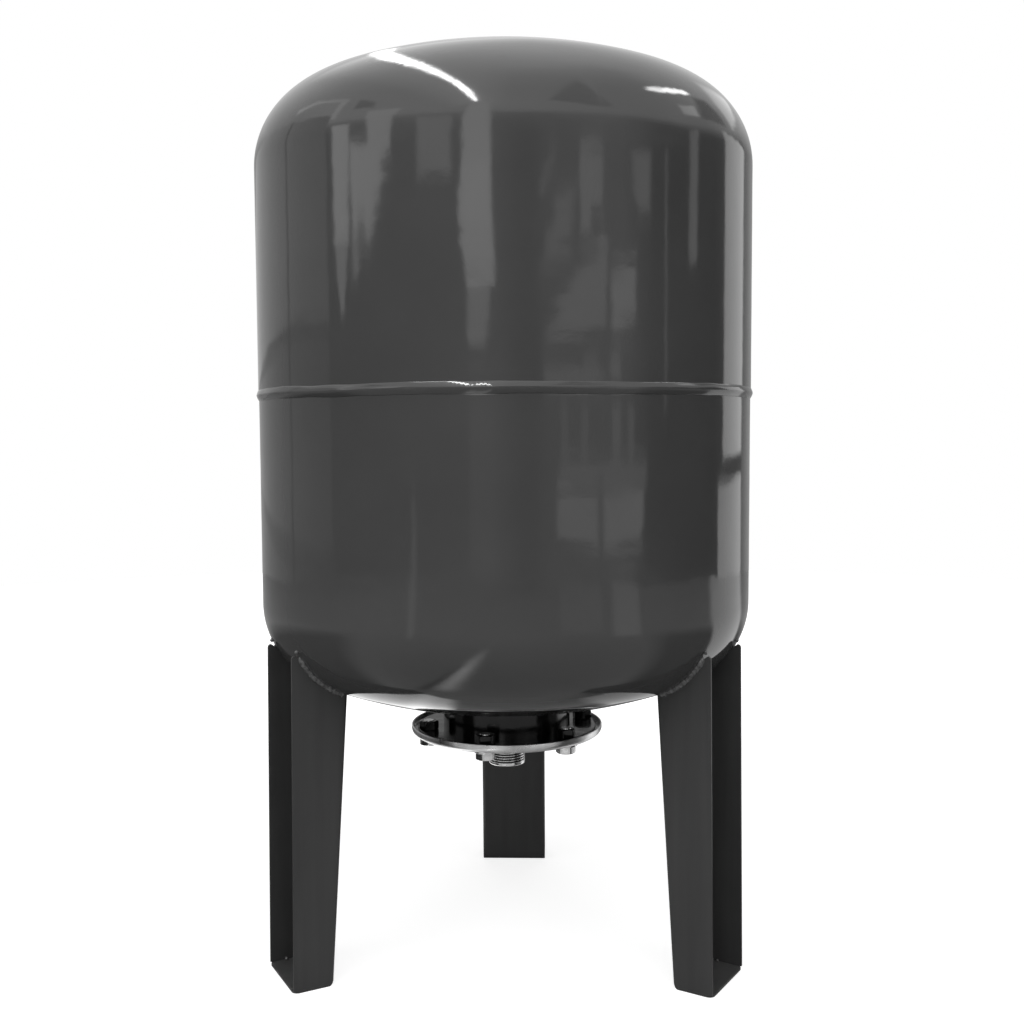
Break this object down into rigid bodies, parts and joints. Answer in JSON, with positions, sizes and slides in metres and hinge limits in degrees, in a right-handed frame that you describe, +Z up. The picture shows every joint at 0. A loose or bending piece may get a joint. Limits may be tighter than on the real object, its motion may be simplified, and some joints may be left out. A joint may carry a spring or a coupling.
{
  "type": "well pressure tank",
  "caption": "Upright diaphragm pressure vessel for a well pump: dished steel shell on folded sheet legs, with a bladder, a bolted pipe flange underneath and an air valve on top.",
  "frame": {"origin": "on the floor, under the tank's axis", "axes": "+Z up along the tank's axis, the rear leg stands on +Y, and the picture's view is from the side of -Y"},
  "size_m": [0.4446, 0.4446, 0.813],
  "materials": {
    "shell_paint": "high gloss dark grey paint",
    "leg_paint": "semi-gloss dark grey paint",
    "black_paint": "gloss black paint",
    "zinc_plate": "brushed bright zinc",
    "bolt_zinc": "bright zinc",
    "rubber": "matt",
    "brass": "machined",
    "cap_plastic": "moulded"
  },
  "bodies": {
    "tank": {"upper_shell": "shell_paint", "lower_shell": "shell_paint", "girth_weld": "shell_paint", "valve_boss": "shell_paint", "neck_collar": "black_paint", "neck_flange": "black_paint", "bladder": "rubber", "cover_plate": "zinc_plate", "threaded_connector": "zinc_plate", "flange_bolt_1": "bolt_zinc", "flange_washer_1": "bolt_zinc", "flange_nut_1": "black_paint", "flange_bolt_2": "bolt_zinc", "flange_washer_2": "bolt_zinc", "flange_nut_2": "black_paint", "flange_bolt_3": "bolt_zinc", "flange_washer_3": "bolt_zinc", "flange_nut_3": "black_paint", "flange_bolt_4": "bolt_zinc", "flange_washer_4": "bolt_zinc", "flange_nut_4": "black_paint", "flange_bolt_5": "bolt_zinc", "flange_washer_5": "bolt_zinc", "flange_nut_5": "black_paint", "flange_bolt_6": "bolt_zinc", "flange_washer_6": "bolt_zinc", "flange_nut_6": "black_paint", "leg_rear": "leg_paint", "leg_rear_weld_a": "leg_paint", "leg_rear_weld_b": "leg_paint", "leg_left": "leg_paint", "leg_left_weld_a": "leg_paint", "leg_left_weld_b": "leg_paint", "leg_right": "leg_paint", "leg_right_weld_a": "leg_paint", "leg_right_weld_b": "leg_paint", "valve_stem": "brass", "valve_core": "brass"},
    "valve_cap": {"valve_cap": "cap_plastic"},
    "valve_pin": {"valve_pin": "brass"}
  },
  "joints": [
    {"name": "cap_lift", "type": "slide", "parent": "tank", "child": "valve_cap", "axis": [0, 0, 1], "range_m": [0, 0.025]},
    {"name": "pin_press", "type": "slide", "parent": "tank", "child": "valve_pin", "axis": [0, 0, 1], "range_m": [-0.0012, 0], "stiffness_N_per_m": 1500, "springref_m": 0.001}
  ]
}
